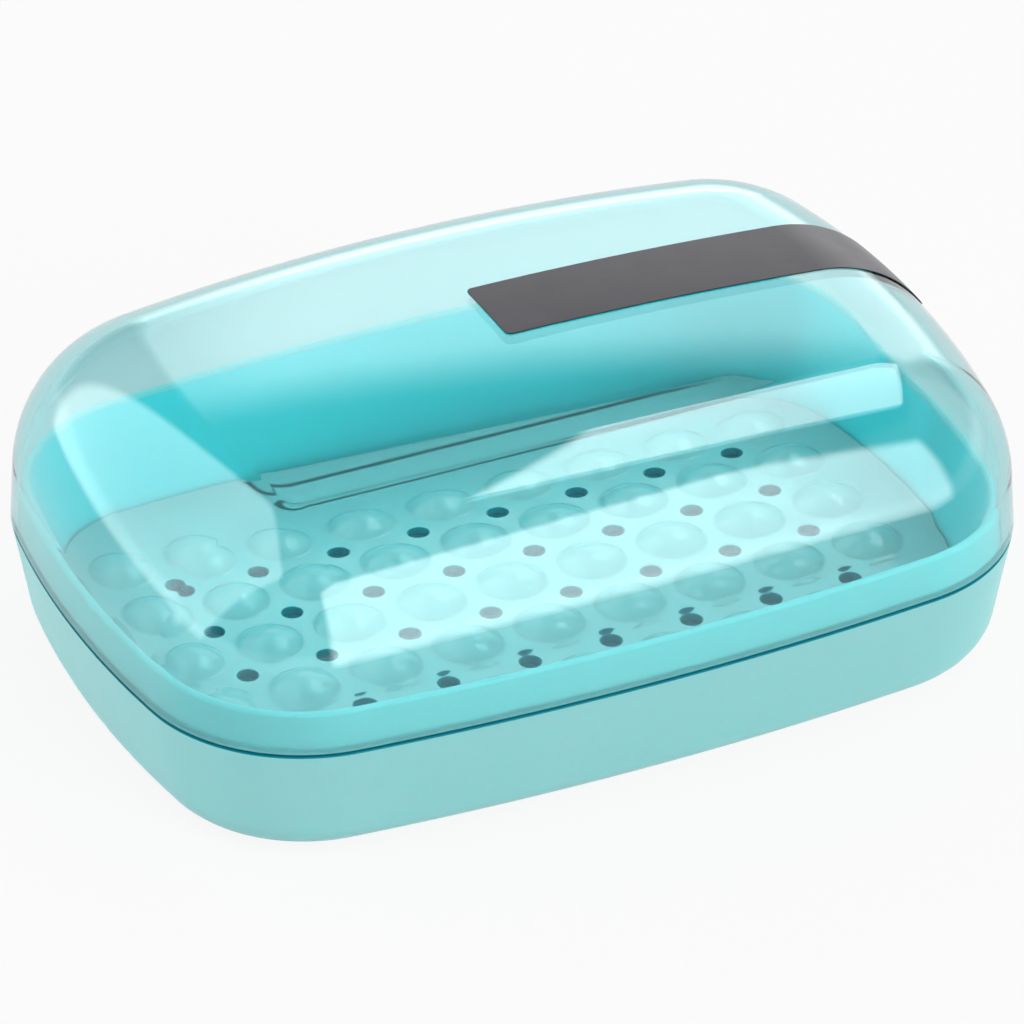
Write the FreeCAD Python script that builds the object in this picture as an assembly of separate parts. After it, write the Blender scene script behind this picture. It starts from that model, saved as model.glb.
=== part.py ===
import FreeCAD, Part
import math
import os

# A soap box for travel: an opaque moulded base, a perforated drain tray that lies loose in it, and
# a clear domed lid that slips down over the base's raised rim. A plain film strip is stuck on the lid.
# Millimetres. +Z is up, +X runs along the box, and the origin is the middle of the underside.

# Plan outline at the seam between base and lid: eight tangent arcs
box_length = 115.0
box_width = 81.0
side_radius = 375.0
end_radius = 139.0
corner_radius = 20.8

# Base: drafted walls, rounded lower edge, raised rim inside the lid, narrow shadow gap at the seam
base_height = 16.2
base_draft_degrees = 9.8
base_edge_radius = 5.8
base_wall = 1.8
base_floor = 1.8
base_inner_radius = 3.0
rim_height = 4.6
rim_wall = 1.3
rim_round_share = 0.4
seam_gap = 0.4

# Lid: drafted walls, large shoulder, top that falls away gently towards the sides and ends
lid_height = 26.4
lid_draft_degrees = 3.65
lid_shoulder_radius = 18.5
shoulder_room_share = 0.97
lid_end_drop = 3.3
lid_side_drop = 3.6
lid_wall = 1.5
lid_fit = 0.25

# Drain tray: plate on short feet, domed bumps hollow below, a drain hole between every four of them
tray_thickness = 1.3
tray_clearance = 0.4
tray_round_share = 0.3
foot_height = 3.0
foot_diameter = 4.0
foot_margin = 1.5
bump_pitch = 10.7
bump_diameter = 8.6
bump_height = 1.6
bump_margin = 3.0
drain_hole_diameter = 2.7
notch_start = -18.0
notch_depth = 4.8

# Label strip: film that starts on top of the lid and runs down over its right end
label_width = 11.8
label_start = -1.6
label_offset = 3.7
label_corner_radius = 0.8
label_end_height = 16.5
label_glue = 0.02
label_film = 0.15

# Length by which a cutting shape runs past what it cuts
overrun = 2.0

half_length = box_length / 2
half_width = box_width / 2
up = FreeCAD.Vector(0, 0, 1)


def slope(degrees):
    return math.tan(math.radians(degrees))


def corner_centre():
    """Centre of the corner arc, which touches the side arc and the end arc from inside."""
    side_y = half_width - side_radius
    end_x = half_length - end_radius
    side_reach = side_radius - corner_radius
    end_reach = end_radius - corner_radius
    apart = math.hypot(end_x, side_y)
    along = (apart**2 + side_reach**2 - end_reach**2) / (2 * apart)
    across = math.sqrt(side_reach**2 - along**2)
    unit_x = end_x / apart
    unit_y = -side_y / apart
    return along * unit_x + across * unit_y, side_y + along * unit_y - across * unit_x


def outline_arcs():
    """The eight arcs in turn, each as centre x, centre y, radius, first and last angle."""
    corner_x, corner_y = corner_centre()
    side_y = half_width - side_radius
    end_x = half_length - end_radius
    end_turn = math.degrees(math.atan2(corner_y, corner_x - end_x))
    side_turn = math.degrees(math.atan2(corner_y - side_y, corner_x))
    arcs = []
    for half_turn, sign in ((0, 1), (180, -1)):
        turns = [half_turn + turn for turn in (-end_turn, end_turn, side_turn, 180 - side_turn, 180 - end_turn)]
        arcs.append((sign * end_x, 0, end_radius, turns[0], turns[1]))
        arcs.append((sign * corner_x, sign * corner_y, corner_radius, turns[1], turns[2]))
        arcs.append((0, sign * side_y, side_radius, turns[2], turns[3]))
        arcs.append((-sign * corner_x, sign * corner_y, corner_radius, turns[3], turns[4]))
    return arcs


def outline(inset, height):
    """The plan outline drawn in by inset, at a height. The arcs keep their centres."""
    edges = []
    for centre_x, centre_y, radius, first, last in outline_arcs():
        centre = FreeCAD.Vector(centre_x, centre_y, height)
        edges.append(Part.makeCircle(radius - inset, centre, up, first, last))
    return Part.Wire(edges)


def block(low_inset, low_height, high_inset, high_height):
    """A solid with the plan outline and evenly drafted walls."""
    return Part.makeLoft([outline(low_inset, low_height), outline(high_inset, high_height)], True, True)


def end_face(solid, end):
    """The topmost face of a solid where end is max, the lowest where it is min."""
    return end(solid.Faces, key=lambda face: face.CenterOfMass.z)


def rounded(solid, radius, end):
    """The solid with all edges of its topmost or lowest face rounded."""
    return solid.makeFillet(radius, end_face(solid, end).Edges)


# Base

base_foot_inset = base_height * slope(base_draft_degrees)
rim_outer_inset = lid_wall + lid_fit
rim_inner_inset = rim_outer_inset + rim_wall
rim_top = base_height + rim_height
cavity_floor_inset = (base_height - base_floor) * slope(base_draft_degrees) + base_wall


def cavity_inset(height):
    """How far the base's inner wall stands in from the outline at a height."""
    share = (height - base_floor) / (rim_top - base_floor)
    return cavity_floor_inset + share * (rim_inner_inset - cavity_floor_inset)


def make_base():
    wall_top = base_height - seam_gap
    shell = block(base_foot_inset, 0, seam_gap * slope(base_draft_degrees), wall_top)
    shell = rounded(shell, base_edge_radius, min)
    land_inset = lid_wall / 2
    land = block(land_inset, wall_top - base_floor, land_inset, base_height)
    rim_lean = rim_height * slope(lid_draft_degrees)
    rim = block(rim_outer_inset, wall_top, rim_outer_inset + rim_lean, rim_top)
    cavity_top = rim_top + overrun
    cavity = block(cavity_floor_inset, base_floor, cavity_inset(cavity_top), cavity_top)
    cavity = rounded(cavity, base_inner_radius, min)
    solid = shell.fuse([land, rim]).removeSplitter().cut(cavity)
    return rounded(solid, rim_wall * rim_round_share, max)


# Drain tray

tray_bottom = base_floor + foot_height
tray_top = tray_bottom + tray_thickness
bump_radius = bump_diameter / 2
dome_radius = (bump_radius**2 + bump_height**2) / (2 * bump_height)
dome_centre_height = tray_top + bump_height - dome_radius


def floor_rounding(height):
    """How far the rounding at the foot of the base's inner wall stands in from that wall."""
    below = max(base_inner_radius - (height - base_floor), 0)
    return base_inner_radius - math.sqrt(base_inner_radius**2 - below**2)


tray_edge_inset = cavity_inset(tray_top) + floor_rounding(tray_bottom) + tray_clearance


def grid_steps(reach):
    """Places of a centred row of bumps that lie within reach of the middle."""
    count = int(reach / bump_pitch)
    return [step * bump_pitch for step in range(-count, count + 1)]


def bump_places():
    """Places of the square grid of bumps, wherever the tray has room for a whole one."""
    field = Part.Face(outline(tray_edge_inset + bump_margin + bump_radius, 0))
    places = []
    for x in grid_steps(half_length):
        for y in grid_steps(half_width):
            if field.isInside(FreeCAD.Vector(x, y, 0), tray_clearance, True):
                places.append((x, y))
    return places


def drain_hole_places(bumps):
    """The middle of every four bumps that stand in a square."""
    places = []
    for x, y in bumps:
        square = [(x + bump_pitch, y), (x, y + bump_pitch), (x + bump_pitch, y + bump_pitch)]
        if all(any(math.dist(corner, bump) < bump_radius for bump in bumps) for corner in square):
            places.append((x + bump_pitch / 2, y + bump_pitch / 2))
    return places


def bump_dome(x, y, radius, foot_height_on_axis):
    """The top of a ball above a height, one bump or the hollow below it."""
    centre = FreeCAD.Vector(x, y, dome_centre_height)
    lowest = math.degrees(math.asin((foot_height_on_axis - dome_centre_height) / radius))
    return Part.makeSphere(radius, centre, up, lowest, 90, 360)


def finger_notch():
    """Cutter for the notch along the tray's rear edge: S-shaped at its left end, open at the right corner."""
    bend = notch_depth / 2
    edge_y = half_width - tray_edge_inset
    outer_y = edge_y + overrun
    low_y = edge_y - notch_depth
    edges = []
    for centre_x, first in ((notch_start + bend, 180), (notch_start - bend, 0)):
        centre = FreeCAD.Vector(centre_x, edge_y - bend, tray_bottom)
        edges.append(Part.makeCircle(bend, centre, up, first, first + 90))
    left_x = notch_start - bend
    corners = [(left_x, edge_y), (left_x, outer_y), (half_length, outer_y), (half_length, low_y)]
    corners.append((left_x + notch_depth, low_y))
    points = [FreeCAD.Vector(x, y, tray_bottom) for x, y in corners]
    edges += [Part.makeLine(start, end) for start, end in zip(points, points[1:])]
    face = Part.Face(Part.Wire(Part.__sortEdges__(edges)))
    return face.extrude(up * tray_thickness)


def make_drain_tray():
    lean = cavity_inset(tray_bottom) - cavity_inset(tray_top)
    plate = block(tray_edge_inset + lean, tray_bottom, tray_edge_inset, tray_top)
    plate = rounded(plate.cut(finger_notch()), tray_thickness * tray_round_share, max)
    bumps = bump_places()
    domes = [bump_dome(x, y, dome_radius, tray_top - tray_thickness / 2) for x, y in bumps]
    hollows = [bump_dome(x, y, dome_radius - tray_thickness, tray_bottom) for x, y in bumps]
    holes = []
    for x, y in drain_hole_places(bumps):
        start = FreeCAD.Vector(x, y, tray_bottom)
        holes.append(Part.makeCylinder(drain_hole_diameter / 2, tray_thickness, start, up))
    corner_x, corner_y = corner_centre()
    floor_edge_y = corner_y + corner_radius - cavity_floor_inset - base_inner_radius - tray_clearance
    notch_edge_y = half_width - tray_edge_inset - notch_depth - foot_margin
    foot_y = min(floor_edge_y, notch_edge_y) - foot_diameter / 2
    feet = []
    for x, y in ((corner_x, foot_y), (-corner_x, foot_y), (-corner_x, -foot_y), (corner_x, -foot_y)):
        start = FreeCAD.Vector(x, y, base_floor)
        feet.append(Part.makeCylinder(foot_diameter / 2, foot_height, start, up))
    return plate.fuse(domes).cut(hollows + holes).fuse(feet).removeSplitter()


# Lid and its label strip


def above_crown(top):
    """Everything above the lid's crowned top, a parabolic sheet whose highest point is at top."""
    reach_x = half_length + overrun
    reach_y = half_width + overrun
    drop_x = lid_end_drop * (reach_x / half_length) ** 2
    drop_y = lid_side_drop * (reach_y / half_width) ** 2
    sheet = Part.BezierSurface()
    sheet.increase(2, 2)
    for column, side_x in enumerate((-1, 0, 1), 1):
        for row, side_y in enumerate((-1, 0, 1), 1):
            pole_z = top + drop_x * (1 - 2 * abs(side_x)) + drop_y * (1 - 2 * abs(side_y))
            sheet.setPole(column, row, FreeCAD.Vector(side_x * reach_x, side_y * reach_y, pole_z))
    return sheet.toShape().extrude(up * (drop_x + drop_y + lid_height))


def dome(grow):
    """The lid's outer form, grown all round by a thickness (drawn in where that is negative)."""
    top = base_height + lid_height + grow
    block_top = top + overrun
    lean = (block_top - base_height) * slope(lid_draft_degrees)
    solid = block(-grow, base_height, lean - grow, block_top).cut(above_crown(top))
    shoulder_room = (corner_radius - lid_height * slope(lid_draft_degrees)) * shoulder_room_share
    return rounded(solid, min(lid_shoulder_radius, shoulder_room) + grow, max)


def make_lid():
    return dome(0).cut(dome(-lid_wall))


def make_label_strip():
    film = dome(label_glue + label_film).cut(dome(label_glue))
    low = FreeCAD.Vector(label_start, label_offset - label_width / 2, base_height + label_end_height)
    strip = Part.makeBox(half_length - label_start, label_width, lid_height, low)
    upright = [edge for edge in strip.Edges if edge.tangentAt(edge.FirstParameter).cross(up).Length == 0]
    return film.common(strip.makeFillet(label_corner_radius, upright))


os.makedirs("parts", exist_ok=True)
make_base().exportStep("parts/base.step")
make_drain_tray().exportStep("parts/drain_tray.step")
make_lid().exportStep("parts/lid.step")
make_label_strip().exportStep("parts/label_strip.step")
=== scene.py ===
import math

import bpy
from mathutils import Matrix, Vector
from mathutils.geometry import delaunay_2d_cdt


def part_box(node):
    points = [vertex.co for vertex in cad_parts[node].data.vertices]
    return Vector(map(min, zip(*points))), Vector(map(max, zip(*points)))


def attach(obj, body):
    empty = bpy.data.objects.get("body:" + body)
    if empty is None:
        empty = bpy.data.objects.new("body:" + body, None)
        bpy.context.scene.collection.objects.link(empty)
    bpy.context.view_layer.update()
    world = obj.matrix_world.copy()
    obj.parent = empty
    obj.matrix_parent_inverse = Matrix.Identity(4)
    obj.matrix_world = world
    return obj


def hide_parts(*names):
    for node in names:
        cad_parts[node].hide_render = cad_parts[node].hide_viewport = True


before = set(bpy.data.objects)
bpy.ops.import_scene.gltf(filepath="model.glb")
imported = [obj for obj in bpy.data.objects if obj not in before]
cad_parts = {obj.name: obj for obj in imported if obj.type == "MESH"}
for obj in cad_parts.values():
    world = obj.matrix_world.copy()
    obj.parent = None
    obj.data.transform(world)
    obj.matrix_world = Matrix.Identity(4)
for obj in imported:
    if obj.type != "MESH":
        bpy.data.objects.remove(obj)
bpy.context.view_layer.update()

# Base
# The lower half of the box, one injection moulding in opaque aqua polypropylene with a satin gloss.
# Its drafted walls end in a ledge at the seam, and a thinner rim stands up inside for the lid to slip over.
# It stands free on its flat underside. Its seam groove carries painted shade, and its inside a painted glow,
# deeper and brighter than its outside, for light coming through its walls.

half_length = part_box("lid")[1].x
half_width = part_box("lid")[1].y
seam_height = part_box("lid")[0].z
side_radius = 0.375
end_radius = 0.139
corner_radius = 0.0208
side_y = half_width - side_radius
end_x = half_length - end_radius

base_draft = math.radians(9.8)
base_edge_rounding = 0.0058
base_wall = 0.0018
base_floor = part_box("drain_tray")[0].z
cavity_rounding = 0.003
seam_gap = 0.0004
seam_rounding = 0.00016
land_inset = 0.00075
land_drop = 0.00003
rim_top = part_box("base")[1].z
rim_outer_inset = 0.00175
rim_lean = 0.00029
rim_root_rounding = 0.0002
rim_inner_inset = 0.00305
rim_rounding = 0.0005
cap_inset = 0.015
rounding_steps = 8
end_steps = 28
corner_steps = 40
side_steps = 48


def corner_arc_centre():
    """Middle of the corner arc, which touches the long side's arc and the end's arc from inside."""
    side_reach = side_radius - corner_radius
    end_reach = end_radius - corner_radius
    apart = math.hypot(end_x, side_y)
    along = (apart**2 + side_reach**2 - end_reach**2) / (2 * apart)
    across = math.sqrt(side_reach**2 - along**2)
    return (along * end_x - across * side_y) / apart, side_y + (-along * side_y - across * end_x) / apart


corner_x, corner_y = corner_arc_centre()
end_turn = math.atan2(corner_y, corner_x - end_x)
side_turn = math.atan2(corner_y - side_y, corner_x)


def outline_arcs(inset):
    """The outline drawn in by inset: eight arcs from the right end, as centre, radius, turns and steps."""
    right_turns = (-end_turn, end_turn, side_turn, math.pi - side_turn, math.pi - end_turn)
    corner_reach = corner_radius - inset
    arcs = []
    for sign, half_turn in ((1, 0), (-1, math.pi)):
        turns = [half_turn + turn for turn in right_turns]
        arcs.append((sign * end_x, 0, end_radius - inset, turns[0], turns[1], end_steps))
        arcs.append((sign * corner_x, sign * corner_y, corner_reach, turns[1], turns[2], corner_steps))
        arcs.append((0, sign * side_y, side_radius - inset, turns[2], turns[3], side_steps))
        arcs.append((-sign * corner_x, sign * corner_y, corner_reach, turns[3], turns[4], corner_steps))
    return arcs


def arc_stations(centre_x, centre_y, radius, first, last, steps, hollow=False):
    """Points along an arc in plan, without the last one, each with the direction out of the material."""
    stations = []
    for step in range(steps):
        turn = first + (last - first) * step / steps
        radial = Vector((math.cos(turn), math.sin(turn), 0))
        stations.append((Vector((centre_x, centre_y, 0)) + radius * radial, -radial if hollow else radial))
    return stations


def rounded_section(corners):
    """Points along a wall section given as (inset, height, rounding) corners, each with its normal.

    The material lies on the left of the path. A point is (inset, height, outward part, upward part)."""
    points = [Vector((-inset, height)) for inset, height, _ in corners]
    ways = [(b - a).normalized() for a, b in zip(points, points[1:])]
    section = [(corners[0][0], corners[0][1], ways[0].y, -ways[0].x)]
    for point, (_, _, rounding), way_in, way_out in zip(points[1:], corners[1:], ways, ways[1:]):
        turn = math.atan2(way_in.cross(way_out), way_in.dot(way_out))
        side = math.copysign(1, turn)
        start = point - way_in * rounding * math.tan(abs(turn) / 2)
        middle = start + Vector((-way_in.y, way_in.x)) * side * rounding
        heading = math.atan2(way_in.y, way_in.x)
        for step in range(rounding_steps + 1):
            angle = heading + turn * step / rounding_steps
            normal = Vector((math.sin(angle), -math.cos(angle)))
            place = middle + normal * side * rounding
            section.append((-place.x, place.y, normal.x, normal.y))
    section.append((corners[-1][0], corners[-1][1], ways[-1].y, -ways[-1].x))
    return section


def swept_rings(stations, section):
    """Rings of points, and their normals, of a section carried round a closed line of stations."""
    places = []
    normals = []
    for inset, height, outward_part, upward_part in section:
        places.append([point - outward * inset + Vector((0, 0, height)) for point, outward in stations])
        normals.append([outward * outward_part + Vector((0, 0, upward_part)) for _, outward in stations])
    return places, normals


def ring_faces(first, rings, count):
    """Four-sided faces between neighbouring rings of points that start at index first."""
    faces = []
    for ring in range(rings - 1):
        low = first + ring * count
        for step in range(count):
            after = (step + 1) % count
            faces.append((low + step, low + after, low + count + after, low + count + step))
    return faces


def smooth_piece(name, places, normals, faces):
    """A new piece with its exact normals."""
    mesh = bpy.data.meshes.new(name)
    mesh.from_pydata(places, [], faces)
    mesh.shade_smooth()
    mesh.normals_split_custom_set_from_vertices([normal.normalized() for normal in normals])
    piece = bpy.data.objects.new(name, mesh)
    bpy.context.scene.collection.objects.link(piece)
    return piece


def ring_piece(name, places, normals):
    """A closed piece through rings of points, capped at its first and last ring."""
    count = len(places[0])
    last = (len(places) - 1) * count
    faces = ring_faces(0, len(places), count)
    faces.append(list(reversed(range(count))))
    faces.append(list(range(last, last + count)))
    return smooth_piece(name, sum(places, []), sum(normals, []), faces)


def moulded_plastic(name, colour, deeper_colour, roughness, shine, glow, glow_depth):
    """Dyed plastic that light enters a little way: faint flow marks, uneven gloss and a fine mould grain."""
    material = bpy.data.materials.new(name)
    material.use_nodes = True
    nodes = material.node_tree.nodes
    links = material.node_tree.links
    shader = nodes["Principled BSDF"]
    shader.inputs["IOR"].default_value = 1.5
    shader.inputs["Specular IOR Level"].default_value = shine
    shader.inputs["Subsurface Weight"].default_value = glow
    shader.inputs["Subsurface Radius"].default_value = (0.25, 1, 1)
    shader.inputs["Subsurface Scale"].default_value = glow_depth
    places = nodes.new("ShaderNodeTexCoord")

    flow = nodes.new("ShaderNodeTexNoise")
    flow.inputs["Scale"].default_value = 28
    flow.inputs["Detail"].default_value = 3
    flow.inputs["Distortion"].default_value = 0.6
    links.new(places.outputs["Object"], flow.inputs["Vector"])
    tint = nodes.new("ShaderNodeMix")
    tint.data_type = "RGBA"
    tint.inputs["A"].default_value = (*colour, 1)
    tint.inputs["B"].default_value = (*deeper_colour, 1)
    links.new(flow.outputs["Fac"], tint.inputs["Factor"])
    links.new(tint.outputs["Result"], shader.inputs["Base Color"])

    gloss = nodes.new("ShaderNodeTexNoise")
    gloss.inputs["Scale"].default_value = 160
    gloss.inputs["Detail"].default_value = 4
    links.new(places.outputs["Object"], gloss.inputs["Vector"])
    spread = nodes.new("ShaderNodeMapRange")
    spread.inputs["To Min"].default_value = roughness * 0.8
    spread.inputs["To Max"].default_value = roughness * 1.2
    links.new(gloss.outputs["Fac"], spread.inputs["Value"])
    links.new(spread.outputs["Result"], shader.inputs["Roughness"])

    grain = nodes.new("ShaderNodeTexNoise")
    grain.inputs["Scale"].default_value = 2600
    grain.inputs["Detail"].default_value = 2
    links.new(places.outputs["Object"], grain.inputs["Vector"])
    relief = nodes.new("ShaderNodeBump")
    relief.inputs["Strength"].default_value = 0.5 * roughness**2
    relief.inputs["Distance"].default_value = 0.0001
    links.new(grain.outputs["Fac"], relief.inputs["Height"])
    links.new(relief.outputs["Normal"], shader.inputs["Normal"])
    return material


# The land lies a hair below the lid's edge, so that the two never share one plane
ledge_height = seam_height - seam_gap
land_height = seam_height - land_drop
stations = [station for arc in outline_arcs(0) for station in arc_stations(*arc)]
base_section = rounded_section(
    [
        (cap_inset, 0, 0),
        (seam_height * math.tan(base_draft), 0, base_edge_rounding),
        (seam_gap * math.tan(base_draft), ledge_height, seam_rounding),
        (land_inset, ledge_height, seam_rounding / 2),
        (land_inset, land_height, seam_rounding / 2),
        (rim_outer_inset, land_height, rim_root_rounding),
        (rim_outer_inset + rim_lean, rim_top, rim_rounding),
        (rim_inner_inset, rim_top, rim_rounding),
        ((seam_height - base_floor) * math.tan(base_draft) + base_wall, base_floor, cavity_rounding),
        (cap_inset, base_floor, 0),
    ]
)
base = ring_piece("base_shell", *swept_rings(stations, base_section))
base_colour = (0.29, 0.63, 0.635)
base_flow_colour = (0.26, 0.61, 0.615)
base_plastic = moulded_plastic(
    "base_plastic", base_colour, base_flow_colour, roughness=0.34, shine=0.06, glow=0.7, glow_depth=0.0015
)
# Painted shade: the seam groove is painted dark teal to stand in for the shade inside the gap under the lid
painted_seam_shade_colour = (0.0, 0.28, 0.36)
painted_seam_shade_flow_colour = (0.0, 0.26, 0.34)
painted_seam_shade = moulded_plastic(
    "base_painted_seam_shade", painted_seam_shade_colour, painted_seam_shade_flow_colour, roughness=0.5, shine=0.1, glow=0.1, glow_depth=0.0001
)
# Painted glow: the inside is a deeper, brighter copy of the plastic, standing in for light that comes through
# the walls and bounces inside
painted_glow_colour = (0.07, 0.72, 0.76)
painted_glow_flow_colour = (0.06, 0.70, 0.74)
painted_glow_plastic = moulded_plastic(
    "base_inside_painted_glow", painted_glow_colour, painted_glow_flow_colour, roughness=0.34, shine=0.1, glow=0.7, glow_depth=0.0015
)
base.data.materials.append(base_plastic)
base.data.materials.append(painted_seam_shade)
base.data.materials.append(painted_glow_plastic)
# Painted shade covers the seam's rings from the ledge's rounded edge to the land, and painted glow the
# inside's from the rim to the floor
corner_points = rounding_steps + 1
painted_seam_shade_rings = range(corner_points + 1, 3 * corner_points + 1)
painted_glow_rings = range(7 * corner_points, len(base_section) - 1)
for material_index, rings in ((1, painted_seam_shade_rings), (2, painted_glow_rings)):
    for ring in rings:
        for step in range(len(stations)):
            base.data.polygons[ring * len(stations) + step].material_index = material_index
base.data.polygons[-1].material_index = 2
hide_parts("base")
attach(base, "base")

# Drain tray
# A loose perforated plate moulded in the same aqua plastic and polished. Some light comes through it.
# Domed bumps, hollow below, keep the soap up, and a hole between every four of them drains it.
# It lies on four short feet, with a finger notch in its rear edge.

tray_inset = half_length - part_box("drain_tray")[1].x
tray_thickness = 0.0013
bump_height = 0.0016
bump_radius = 0.0043
bump_pitch = 0.0107
bump_columns = 4
bump_rows = 2
bump_foot_rounding = 0.0009
hollow_edge_rounding = 0.0003
bump_rings = 6
bump_sides = 32
tray_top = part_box("drain_tray")[1].z - bump_height
tray_bottom = tray_top - tray_thickness
tray_edge_rounding = 0.0002
tray_margin = 0.0008
drain_hole_radius = 0.00135
drain_hole_sides = 28
notch_left = -0.0204
notch_depth = 0.0048
notch_corner_radius = 0.003
foot_radius = 0.002
foot_x = corner_x
foot_inset = 0.0015
foot_y = half_width - tray_inset - notch_depth - foot_inset - foot_radius
foot_rounding = 0.0003
foot_margin = 0.0005


def tray_stations():
    """The tray's outline: the box's own, but for the notch that runs out through the rear right corner."""
    arcs = outline_arcs(tray_inset)
    corner_reach = corner_radius - tray_inset
    side_reach = side_radius - tray_inset
    notch_y = half_width - tray_inset - notch_depth
    notch_left_y = side_y + math.sqrt(side_reach**2 - notch_left**2)
    bend = (notch_left_y - notch_y) / 2
    bend_x = notch_left + bend
    round_y = notch_y - notch_corner_radius
    round_x = corner_x + math.sqrt((corner_reach - notch_corner_radius) ** 2 - (round_y - corner_y) ** 2)
    round_turn = math.atan2(round_y - corner_y, round_x - corner_x)
    cut_corner_steps = 24
    round_steps = 10
    line_steps = 24
    bend_steps = 12
    cut_side_steps = 14
    cut_side_turn = math.acos(notch_left / side_reach)
    line_start = Vector((round_x, notch_y, 0))
    line_end = Vector((bend_x + bend, notch_y, 0))
    return (
        arc_stations(*arcs[0])
        + arc_stations(corner_x, corner_y, corner_reach, end_turn, round_turn, cut_corner_steps)
        + arc_stations(round_x, round_y, notch_corner_radius, round_turn, math.pi / 2, round_steps)
        + [(line_start.lerp(line_end, step / line_steps), Vector((0, 1, 0))) for step in range(line_steps)]
        + arc_stations(bend_x + bend, notch_y + bend, bend, 1.5 * math.pi, math.pi, bend_steps, hollow=True)
        + arc_stations(notch_left, notch_y + bend, bend, 0, math.pi / 2, bend_steps)
        + arc_stations(0, side_y, side_reach, cut_side_turn, math.pi - side_turn, cut_side_steps)
        + [station for arc in arcs[3:] for station in arc_stations(*arc)]
    )


def dome_profile(ball_radius, ball_depth, root_rounding):
    """From a dome's middle to where its rounded root runs out: (distance out, rise, slope) at each ring.

    The ball's middle lies ball_depth below the flat that the dome stands on."""
    reach = ball_radius + root_rounding
    root = math.sqrt(reach**2 - (ball_depth + root_rounding) ** 2)
    joint_angle = math.asin(root / reach)
    profile = []
    for ring in range(bump_rings + 1):
        angle = joint_angle * ring / bump_rings
        rise = ball_radius * math.cos(angle) - ball_depth
        profile.append((ball_radius * math.sin(angle), rise, -math.tan(angle)))
    for ring in range(bump_rings - 1, -1, -1):
        angle = joint_angle * ring / bump_rings
        out = root - root_rounding * math.sin(angle)
        profile.append((out, root_rounding * (1 - math.cos(angle)), -math.tan(angle)))
    return profile


tray_places = []
tray_normals = []
tray_faces = []


def add_tray_strip(strip_stations, corners):
    """Carries a section round stations of the tray. Returns the indices of its first and last ring."""
    rings, normals = swept_rings(strip_stations, rounded_section(corners))
    count = len(strip_stations)
    first = len(tray_places)
    tray_faces.extend(ring_faces(first, len(rings), count))
    tray_places.extend(sum(rings, []))
    tray_normals.extend(sum(normals, []))
    return list(range(first, first + count)), list(range(len(tray_places) - count, len(tray_places)))


def add_tray_flat(outer, openings, height, profile, facing):
    """Fills one flat of the tray between its outer loop and its openings, with a dome at every grid place."""
    members = outer + sum(openings, [])
    for column in range(-bump_columns, bump_columns + 1):
        for row in range(-bump_rows, bump_rows + 1):
            for out, rise, slope in profile:
                sides = bump_sides if out else 1
                for side in range(sides):
                    turn = math.tau * side / sides
                    radial = Vector((math.cos(turn), math.sin(turn), 0))
                    members.append(len(tray_places))
                    middle = Vector((column * bump_pitch, row * bump_pitch, height))
                    tray_places.append(middle + radial * out + Vector((0, 0, rise)))
                    tray_normals.append((Vector((0, 0, 1)) - radial * slope) * facing)
    loops = [outer] + openings
    place_in_members = {index: place for place, index in enumerate(members)}
    edges = []
    for loop in loops:
        places = [place_in_members[index] for index in loop]
        edges.extend(zip(places, places[1:] + places[:1]))
    flat = [tray_places[index].xy for index in members]
    inside_edges = 1
    merge_distance = 1e-9
    _, _, triangles, sources, _, _ = delaunay_2d_cdt(flat, edges, [], inside_edges, merge_distance, True)
    opening_of = {index: number for number, opening in enumerate(openings) for index in opening}
    for triangle in triangles:
        corners = [members[sources[corner][0]] for corner in triangle]
        owners = {opening_of.get(corner) for corner in corners}
        if len(owners) == 1 and None not in owners:
            continue
        tray_faces.append(corners if facing > 0 else corners[::-1])


edge_corners = [
    (tray_margin, tray_bottom, 0),
    (0, tray_bottom, tray_edge_rounding / 2),
    (0, tray_top, tray_edge_rounding),
    (tray_margin, tray_top, 0),
]
lower_edge, upper_edge = add_tray_strip(tray_stations(), edge_corners)
lower_openings = []
upper_openings = []
hole_first_faces = []
for column in range(-bump_columns, bump_columns):
    for row in range(-bump_rows, bump_rows):
        hole_x = (column + 0.5) * bump_pitch
        hole_y = (row + 0.5) * bump_pitch
        hole = arc_stations(hole_x, hole_y, drain_hole_radius, math.tau, 0, drain_hole_sides, hollow=True)
        hole_first_faces.append(len(tray_faces))
        lower, upper = add_tray_strip(hole, edge_corners)
        lower_openings.append(lower)
        upper_openings.append(upper)
for side_x in (-1, 1):
    for side_way in (-1, 1):
        foot = arc_stations(side_x * foot_x, side_way * foot_y, foot_radius, 0, math.tau, drain_hole_sides)
        sole, root = add_tray_strip(
            foot,
            [
                (foot_radius / 2, base_floor, 0),
                (0, base_floor, foot_rounding),
                (0, tray_bottom, foot_rounding),
                (-foot_margin, tray_bottom, 0),
            ],
        )
        tray_faces.append(sole[::-1])
        lower_openings.append(root)
dome_radius = (bump_radius**2 + bump_height**2) / (2 * bump_height)
dome_depth = dome_radius - bump_height
bump_profile = dome_profile(dome_radius, dome_depth, bump_foot_rounding)
add_tray_flat(upper_edge, upper_openings, tray_top, bump_profile, 1)
hollow_profile = dome_profile(dome_radius - tray_thickness, dome_depth - tray_thickness, hollow_edge_rounding)
add_tray_flat(lower_edge, lower_openings, tray_bottom, hollow_profile, -1)
tray = smooth_piece("drain_tray_plate", tray_places, tray_normals, tray_faces)
tray_colour = (0.30, 0.56, 0.57)
tray_flow_colour = (0.26, 0.54, 0.55)
tray_light_colour = (0.2, 0.55, 0.6)
tray_plastic = moulded_plastic(
    "tray_plastic", tray_colour, tray_flow_colour, roughness=0.14, shine=0.6, glow=0.8, glow_depth=0.0016
)
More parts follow.
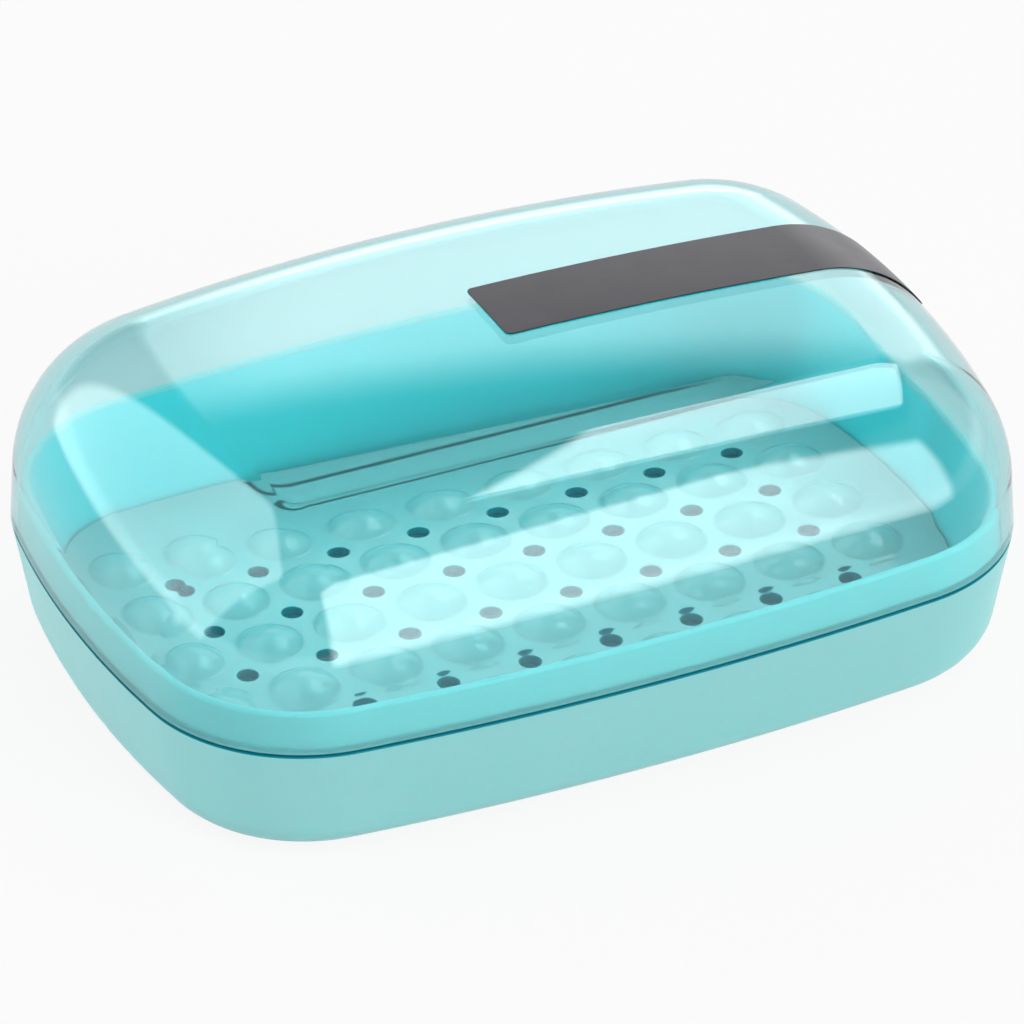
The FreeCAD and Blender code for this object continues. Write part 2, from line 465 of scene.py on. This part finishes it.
# Light that comes through the plate takes on its colour
nodes = tray_plastic.node_tree.nodes
links = tray_plastic.node_tree.links
passing = nodes.new("ShaderNodeBsdfTransparent")
passing.inputs["Color"].default_value = (*tray_light_colour, 1)
path = nodes.new("ShaderNodeLightPath")
pick = nodes.new("ShaderNodeMixShader")
links.new(path.outputs["Is Shadow Ray"], pick.inputs["Fac"])
links.new(nodes["Principled BSDF"].outputs["BSDF"], pick.inputs[1])
links.new(passing.outputs["BSDF"], pick.inputs[2])
links.new(pick.outputs["Shader"], nodes["Material Output"].inputs["Surface"])
# Painted shade: the drain holes are painted dark teal to stand in for the shade inside them
painted_hole_shade_colour = (0.0, 0.30, 0.36)
painted_hole_shade_flow_colour = (0.0, 0.28, 0.34)
painted_hole_shade = moulded_plastic(
    "tray_painted_hole_shade", painted_hole_shade_colour, painted_hole_shade_flow_colour, roughness=0.3, shine=0.1, glow=0.1, glow_depth=0.0005
)
tray.data.materials.append(tray_plastic)
tray.data.materials.append(painted_hole_shade)
# Painted shade, a darker teal, covers each hole's lower margin, lower edge and wall, and half of its upper
# edge
painted_hole_shade_rings = 2 + rounding_steps + rounding_steps // 2
for first_face in hole_first_faces:
    for face in range(painted_hole_shade_rings * drain_hole_sides):
        tray.data.polygons[first_face + face].material_index = 1
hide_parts("drain_tray")
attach(tray, "tray")

# Lid
# A clear domed cover moulded in aqua-tinted styrene, polished on both sides and matt along its lower edge.
# It slips down over the base's rim and rests on the land beside it, held only by its fit.

lid_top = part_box("lid")[1].z
lid_wall = 0.0015
lid_draft = math.radians(3.65)
lid_end_drop = 0.0033
lid_side_drop = 0.0036
lid_shoulder = 0.0185
lid_edge_rounding = 0.00005
lid_foot_height = 0.002
wall_steps = 4
shoulder_steps = 28
crown_steps = 26
crown_cap_share = 0.02
shoulder_fit_rounds = 8


def crown_height(place, grow):
    """Height of the lid's gently domed top at a place in plan."""
    end_fall = lid_end_drop * (place.x / half_length) ** 2
    side_fall = lid_side_drop * (place.y / half_width) ** 2
    return lid_top + grow - end_fall - side_fall


def crown_normal(place):
    """Upward normal of the lid's top at a place in plan."""
    fall_x = 2 * lid_end_drop * place.x / half_length**2
    fall_y = 2 * lid_side_drop * place.y / half_width**2
    return Vector((fall_x, fall_y, 1)).normalized()


def shoulder_arc(station, grow):
    """Middle and radius of the shoulder's rounding at a station, and its ways to the wall and the crown."""
    point, outward = station
    radius = lid_shoulder + grow
    wall_way = outward * math.cos(lid_draft) + Vector((0, 0, math.sin(lid_draft)))
    height = lid_top - radius
    for _ in range(shoulder_fit_rounds):
        inset = radius / math.cos(lid_draft) + (height - seam_height) * math.tan(lid_draft) - grow
        place = point - outward * inset
        crown_way = crown_normal(place)
        height = crown_height(place, grow) - radius / crown_way.z
    return Vector((place.x, place.y, height)), radius, wall_way, crown_way


def dome_rings(grow):
    """Rings of the lid's form from just above its foot to the middle of its crown."""
    places = []
    normals = []
    arcs = [shoulder_arc(station, grow) for station in stations]
    wall_ways = [way for _, _, way, _ in arcs]
    wall_inset = lid_foot_height * math.tan(lid_draft) - grow
    foot_rise = Vector((0, 0, seam_height + lid_foot_height))
    feet = [point - outward * wall_inset + foot_rise for point, outward in stations]
    tops = [middle + way * radius for middle, radius, way, _ in arcs]
    for step in range(1, wall_steps):
        places.append([foot.lerp(top, step / wall_steps) for foot, top in zip(feet, tops)])
        normals.append(wall_ways)
    for step in range(shoulder_steps + 1):
        ways = [way.slerp(crown_way, step / shoulder_steps) for _, _, way, crown_way in arcs]
        places.append([middle + way * radius for (middle, radius, _, _), way in zip(arcs, ways)])
        normals.append(ways)
    edge = places[-1]
    for step in range(1, crown_steps + 1):
        share = 1 - (1 - crown_cap_share) * step / crown_steps
        ring = [Vector((place.x * share, place.y * share, 0)) for place in edge]
        for place in ring:
            place.z = crown_height(place, grow)
        places.append(ring)
        normals.append([crown_normal(place) for place in ring])
    return places, normals


foot_lean = lid_foot_height * math.tan(lid_draft)
lid_foot_section = rounded_section(
    [
        (lid_wall + foot_lean, seam_height + lid_foot_height, 0),
        (lid_wall, seam_height, lid_edge_rounding),
        (0, seam_height, lid_edge_rounding),
        (foot_lean, seam_height + lid_foot_height, 0),
    ]
)
inner_places, inner_normals = dome_rings(-lid_wall)
outer_places, outer_normals = dome_rings(0)
foot_places, foot_normals = swept_rings(stations, lid_foot_section)
inner_normals = [[-normal for normal in ring] for ring in inner_normals]
lid = ring_piece(
    "lid_shell",
    inner_places[::-1] + foot_places + outer_places,
    inner_normals[::-1] + foot_normals + outer_normals,
)

lid_material = bpy.data.materials.new("lid_clear_plastic")
lid_material.use_nodes = True
nodes = lid_material.node_tree.nodes
links = lid_material.node_tree.links
clear = nodes["Principled BSDF"]
clear.inputs["Base Color"].default_value = (1, 1, 1, 1)
clear.inputs["Transmission Weight"].default_value = 1
clear.inputs["IOR"].default_value = 1.57
places = nodes.new("ShaderNodeTexCoord")
handling = nodes.new("ShaderNodeTexNoise")
handling.inputs["Scale"].default_value = 70
handling.inputs["Detail"].default_value = 5
links.new(places.outputs["Object"], handling.inputs["Vector"])
polish = nodes.new("ShaderNodeMapRange")
polish.inputs["To Min"].default_value = 0.0
polish.inputs["To Max"].default_value = 0.03
links.new(handling.outputs["Fac"], polish.inputs["Value"])
links.new(polish.outputs["Result"], clear.inputs["Roughness"])
swell = nodes.new("ShaderNodeTexNoise")
swell.inputs["Scale"].default_value = 60
swell.inputs["Detail"].default_value = 1
links.new(places.outputs["Object"], swell.inputs["Vector"])
waviness = nodes.new("ShaderNodeBump")
waviness.inputs["Strength"].default_value = 0.5
waviness.inputs["Distance"].default_value = 0.00003
links.new(swell.outputs["Fac"], waviness.inputs["Height"])
links.new(waviness.outputs["Normal"], clear.inputs["Normal"])
# Light for the pieces inside passes straight through, coloured by the dye alone
passing = nodes.new("ShaderNodeBsdfTransparent")
path = nodes.new("ShaderNodeLightPath")
pick = nodes.new("ShaderNodeMixShader")
links.new(path.outputs["Is Shadow Ray"], pick.inputs["Fac"])
links.new(clear.outputs["BSDF"], pick.inputs[1])
links.new(passing.outputs["BSDF"], pick.inputs[2])
links.new(pick.outputs["Shader"], nodes["Material Output"].inputs["Surface"])
dye = nodes.new("ShaderNodeVolumeAbsorption")
dye.inputs["Color"].default_value = (0.0, 0.66, 0.69, 1)
dye.inputs["Density"].default_value = 260
links.new(dye.outputs["Volume"], nodes["Material Output"].inputs["Volume"])
matt_edge = moulded_plastic(
    "lid_matt_edge", base_colour, base_flow_colour, roughness=0.5, shine=0.06, glow=0.0, glow_depth=0.0005
)
lid.data.materials.append(lid_material)
lid.data.materials.append(matt_edge)
# The matt rings go round the lower edge: its inner rounding, its flat and its outer rounding
first_edge_ring = len(inner_places) + 1
for ring in range(first_edge_ring, first_edge_ring + 2 * corner_points - 1):
    for step in range(len(stations)):
        lid.data.polygons[ring * len(stations) + step].material_index = 1
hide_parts("lid")
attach(lid, "lid")

# Label strip
# A plain dark self-adhesive film with a satin face, cut with round corners and bare.
# It is stuck on the lid's top and bent down over the right shoulder.

label_low_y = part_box("label_strip")[0].y
label_high_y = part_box("label_strip")[1].y
label_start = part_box("label_strip")[0].x
label_end_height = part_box("label_strip")[0].z
label_corner_radius = 0.0008
label_glue = 0.00002
label_film = 0.00015
label_rows = 40
label_corner_rows = 8
label_crown_steps = 60
label_shoulder_steps = 40
label_fit_rounds = 6


def label_row_places():
    """Places of the label's lengthwise rows, closer together where its corners are round."""
    places = []
    for row in range(label_corner_rows):
        turn = row / label_corner_rows * math.pi / 2
        places.append(label_low_y + label_corner_radius * (1 - math.cos(turn)))
    first = label_low_y + label_corner_radius
    last = label_high_y - label_corner_radius
    for row in range(label_rows + 1):
        places.append(first + (last - first) * row / label_rows)
    for row in range(1, label_corner_rows + 1):
        turn = row / label_corner_rows * math.pi / 2
        places.append(last + label_corner_radius * math.sin(turn))
    return places


def end_station(turn):
    """The station at a turn on the outline's right end."""
    outward = Vector((math.cos(turn), math.sin(turn), 0))
    return Vector((end_x, 0, 0)) + end_radius * outward, outward


def label_row(row_y, grow):
    """Points and normals of one row of the label, from its start over the crown and down the shoulder."""
    past_low = label_low_y + label_corner_radius - row_y
    past_high = row_y - label_high_y + label_corner_radius
    past = max(past_low, past_high, 0)
    start_x = label_start + label_corner_radius - math.sqrt(max(label_corner_radius**2 - past**2, 0))
    turn = row_y / (end_radius - lid_shoulder)
    for _ in range(label_fit_rounds):
        middle, radius, wall_way, crown_way = shoulder_arc(end_station(turn), grow)
        turn *= row_y / (middle + crown_way * radius).y
    crown_end = (middle + crown_way * radius).x
    places = []
    normals = []
    for step in range(label_crown_steps):
        place = Vector((start_x + (crown_end - start_x) * step / label_crown_steps, row_y, 0))
        place.z = crown_height(place, grow)
        places.append(place)
        normals.append(crown_normal(place))
    for step in range(label_shoulder_steps + 1):
        for _ in range(label_fit_rounds):
            middle, radius, wall_way, crown_way = shoulder_arc(end_station(turn), grow)
            end_rise = math.asin((label_end_height - middle.z) / radius)
            crown_rise = math.asin(crown_way.z)
            end_share = (crown_rise - end_rise) / (crown_rise - lid_draft)
            way = crown_way.slerp(wall_way, end_share * step / label_shoulder_steps)
            place = middle + way * radius
            turn *= row_y / place.y
        places.append(place)
        normals.append(way)
    return places, normals


label_face = [label_row(row_y, label_glue + label_film) for row_y in label_row_places()]
label_back = [label_row(row_y, label_glue) for row_y in label_row_places()]
row_length = len(label_face[0][0])
row_count = len(label_face)
label_places = [place for places, _ in label_face + label_back for place in places]
label_normals = [normal for _, normals in label_face for normal in normals]
label_normals += [-normal for _, normals in label_back for normal in normals]
back_start = row_count * row_length
label_faces = []
for row in range(row_count - 1):
    for step in range(row_length - 1):
        near = row * row_length + step
        far = near + row_length
        face = (near, near + 1, far + 1, far)
        label_faces.append(face)
        label_faces.append([back_start + corner for corner in reversed(face)])
rim = list(range(row_length))
rim += [row * row_length + row_length - 1 for row in range(1, row_count)]
rim += [(row_count - 1) * row_length + step for step in range(row_length - 2, -1, -1)]
rim += [row * row_length for row in range(row_count - 2, 0, -1)]
for near, far in zip(rim, rim[1:] + rim[:1]):
    label_faces.append((near, back_start + near, back_start + far, far))
label = smooth_piece("label_film_strip", label_places, label_normals, label_faces)
label_material = bpy.data.materials.new("label_film")
label_material.use_nodes = True
nodes = label_material.node_tree.nodes
links = label_material.node_tree.links
film = nodes["Principled BSDF"]
film.inputs["Specular IOR Level"].default_value = 0.2
places = nodes.new("ShaderNodeTexCoord")
mottle = nodes.new("ShaderNodeTexNoise")
mottle.inputs["Scale"].default_value = 240
mottle.inputs["Detail"].default_value = 4
links.new(places.outputs["Object"], mottle.inputs["Vector"])
ink = nodes.new("ShaderNodeMix")
ink.data_type = "RGBA"
ink.inputs["A"].default_value = (0.042, 0.041, 0.049, 1)
ink.inputs["B"].default_value = (0.032, 0.031, 0.038, 1)
links.new(mottle.outputs["Fac"], ink.inputs["Factor"])
links.new(ink.outputs["Result"], film.inputs["Base Color"])
satin = nodes.new("ShaderNodeMapRange")
satin.inputs["To Min"].default_value = 0.26
satin.inputs["To Max"].default_value = 0.38
links.new(mottle.outputs["Fac"], satin.inputs["Value"])
links.new(satin.outputs["Result"], film.inputs["Roughness"])
grain = nodes.new("ShaderNodeTexNoise")
grain.inputs["Scale"].default_value = 3200
links.new(places.outputs["Object"], grain.inputs["Vector"])
relief = nodes.new("ShaderNodeBump")
relief.inputs["Strength"].default_value = 0.1
relief.inputs["Distance"].default_value = 0.0001
links.new(grain.outputs["Fac"], relief.inputs["Height"])
links.new(relief.outputs["Normal"], film.inputs["Normal"])
label.data.materials.append(label_material)
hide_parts("label_strip")
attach(label, "lid")

# Floor
# A plain matt white table that runs on past the picture on every side.
# The box stands loose on it, and it shows the box's soft shadow.

floor_reach = 4
white_share = 0.88
floor_mesh = bpy.data.meshes.new("floor")
floor_corners = [(-floor_reach, -floor_reach, 0), (floor_reach, -floor_reach, 0)]
floor_corners += [(floor_reach, floor_reach, 0), (-floor_reach, floor_reach, 0)]
floor_mesh.from_pydata(floor_corners, [], [(0, 1, 2, 3)])
floor = bpy.data.objects.new("floor", floor_mesh)
bpy.context.scene.collection.objects.link(floor)
floor_material = bpy.data.materials.new("floor")
floor_material.use_nodes = True
nodes = floor_material.node_tree.nodes
links = floor_material.node_tree.links
table = nodes["Principled BSDF"]
table.inputs["Base Color"].default_value = (0.86, 0.86, 0.86, 1)
table.inputs["Roughness"].default_value = 0.9
# Seen directly, in gloss or through the lid, the table is nearly white under any light
glow = nodes.new("ShaderNodeEmission")
path = nodes.new("ShaderNodeLightPath")
seen = nodes.new("ShaderNodeMath")
seen.operation = "MAXIMUM"
links.new(path.outputs["Is Camera Ray"], seen.inputs[0])
links.new(path.outputs["Is Glossy Ray"], seen.inputs[1])
seen_through = nodes.new("ShaderNodeMath")
seen_through.operation = "MAXIMUM"
links.new(seen.outputs["Value"], seen_through.inputs[0])
links.new(path.outputs["Is Transmission Ray"], seen_through.inputs[1])
amount = nodes.new("ShaderNodeMath")
amount.operation = "MULTIPLY"
amount.inputs[1].default_value = white_share
links.new(seen_through.outputs["Value"], amount.inputs[0])
pick = nodes.new("ShaderNodeMixShader")
links.new(amount.outputs["Value"], pick.inputs["Fac"])
links.new(table.outputs["BSDF"], pick.inputs[1])
links.new(glow.outputs["Emission"], pick.inputs[2])
links.new(pick.outputs["Shader"], nodes["Material Output"].inputs["Surface"])
floor_mesh.materials.append(floor_material)

# Studio light
# Large softboxes overhead, in front to the right and leaning in from the left, and a pale backdrop behind.
# The room beyond them is dim, with a white band along its horizon.


def soft_edge(nodes, links, along, width):
    """A factor that rises from 0 at both edges of a panel to 1 within a width, along one of its sides."""
    away = nodes.new("ShaderNodeMath")
    away.operation = "PINGPONG"
    away.inputs[1].default_value = 0.5
    links.new(along, away.inputs[0])
    rise = nodes.new("ShaderNodeMapRange")
    rise.interpolation_type = "SMOOTHSTEP"
    rise.inputs["From Max"].default_value = width
    links.new(away.outputs["Value"], rise.inputs["Value"])
    return rise.outputs["Result"]


def softbox(name, azimuth, elevation, distance, shift, size, colour, shine, light, edge):
    """A panel with soft edges that faces the box. Azimuth 0 is in front, 90 to the right.

    Shine is how bright gloss shows it and light how bright it is as a lamp, where 1 is white."""
    white_watts = 4
    for use, level in (("shine", shine), ("light", light)):
        lamp = bpy.data.lights.new(f"{name}_{use}", "AREA")
        lamp.shape = "RECTANGLE"
        lamp.size, lamp.size_y = [side / (1 - edge) for side in size]
        lamp.color = colour
        lamp.energy = level * white_watts * lamp.size * lamp.size_y
        lamp.use_nodes = True
        nodes = lamp.node_tree.nodes
        links = lamp.node_tree.links
        place = nodes.new("ShaderNodeNewGeometry")
        split = nodes.new("ShaderNodeSeparateXYZ")
        links.new(place.outputs["Parametric"], split.inputs["Vector"])
        fade = nodes.new("ShaderNodeMath")
        fade.operation = "MULTIPLY"
        links.new(soft_edge(nodes, links, split.outputs["X"], edge), fade.inputs[0])
        links.new(soft_edge(nodes, links, split.outputs["Y"], edge), fade.inputs[1])
        links.new(fade.outputs["Value"], nodes["Emission"].inputs["Strength"])
        panel = bpy.data.objects.new(f"{name}_{use}", lamp)
        panel.rotation_euler = (math.radians(90 - elevation), 0, math.radians(azimuth))
        panel.location = panel.rotation_euler.to_matrix() @ Vector((*shift, distance))
        panel.visible_camera = False
        panel.visible_diffuse = use == "light"
        panel.visible_glossy = use == "shine"
        panel.visible_transmission = use == "shine"
        bpy.context.scene.collection.objects.link(panel)


neutral = (1.0, 1.0, 1.0)
warm = (1.0, 0.95, 0.945)
softbox("overhead_softbox", -18, 90, 1.0, (0.45, 0.58), (0.46, 0.84), warm, shine=3.6, light=2.5, edge=0.04)
softbox("front_softbox", 25, 0, 1.0, (-0.05, 0.83), (1.15, 1.62), warm, shine=3.6, light=3.8, edge=0.12)
softbox("left_softbox", -115, 40, 1.0, (-0.22, 0.0), (1.5, 1.5), warm, shine=1.7, light=4.0, edge=0.06)
softbox("right_softbox", 80, 25, 1.0, (0, 0), (1.0, 1.0), neutral, shine=0.3, light=1.3, edge=0.10)
softbox("backdrop", 150, 0, 1.0, (-0.085, 0.42), (0.76, 0.667), neutral, shine=1.4, light=4.0, edge=0.2)

room_level = 0.3
band_level = 1
band_edge = math.radians(12)
band_full = math.radians(6)
world = bpy.data.worlds.new("studio")
bpy.context.scene.world = world
world.use_nodes = True
nodes = world.node_tree.nodes
links = world.node_tree.links
way = nodes.new("ShaderNodeTexCoord")
split = nodes.new("ShaderNodeSeparateXYZ")
links.new(way.outputs["Generated"], split.inputs["Vector"])
horizon = nodes.new("ShaderNodeMapRange")
horizon.interpolation_type = "SMOOTHSTEP"
horizon.inputs["From Min"].default_value = math.sin(band_edge)
horizon.inputs["From Max"].default_value = math.sin(band_full)
horizon.inputs["To Min"].default_value = room_level
horizon.inputs["To Max"].default_value = band_level
links.new(split.outputs["Z"], horizon.inputs["Value"])
links.new(horizon.outputs["Result"], nodes["Background"].inputs["Strength"])
nodes["Background"].inputs["Color"].default_value = (1, 1, 1, 1)
bpy.context.scene.view_settings.view_transform = "Standard"

# Camera
# A long lens in front of the box, a little to the left and well above it.
# It points at the middle of the box at the height of the seam, with everything in focus.

camera_azimuth = math.radians(-25.2305)
camera_elevation = math.radians(32.5664)
camera_distance = 0.95734
camera_right = 0.0000538
camera_up = -0.0000653
lens = 279.47
aim = Vector((0, 0, seam_height))
camera_data = bpy.data.cameras.new("camera")
camera_data.lens = lens
camera_data.sensor_width = 36
camera = bpy.data.objects.new("camera", camera_data)
camera.rotation_euler = (math.pi / 2 - camera_elevation, 0, camera_azimuth)
camera_place = Vector((camera_right, camera_up, camera_distance))
camera.location = aim + camera.rotation_euler.to_matrix() @ camera_place
bpy.context.scene.collection.objects.link(camera)
bpy.context.scene.camera = camera
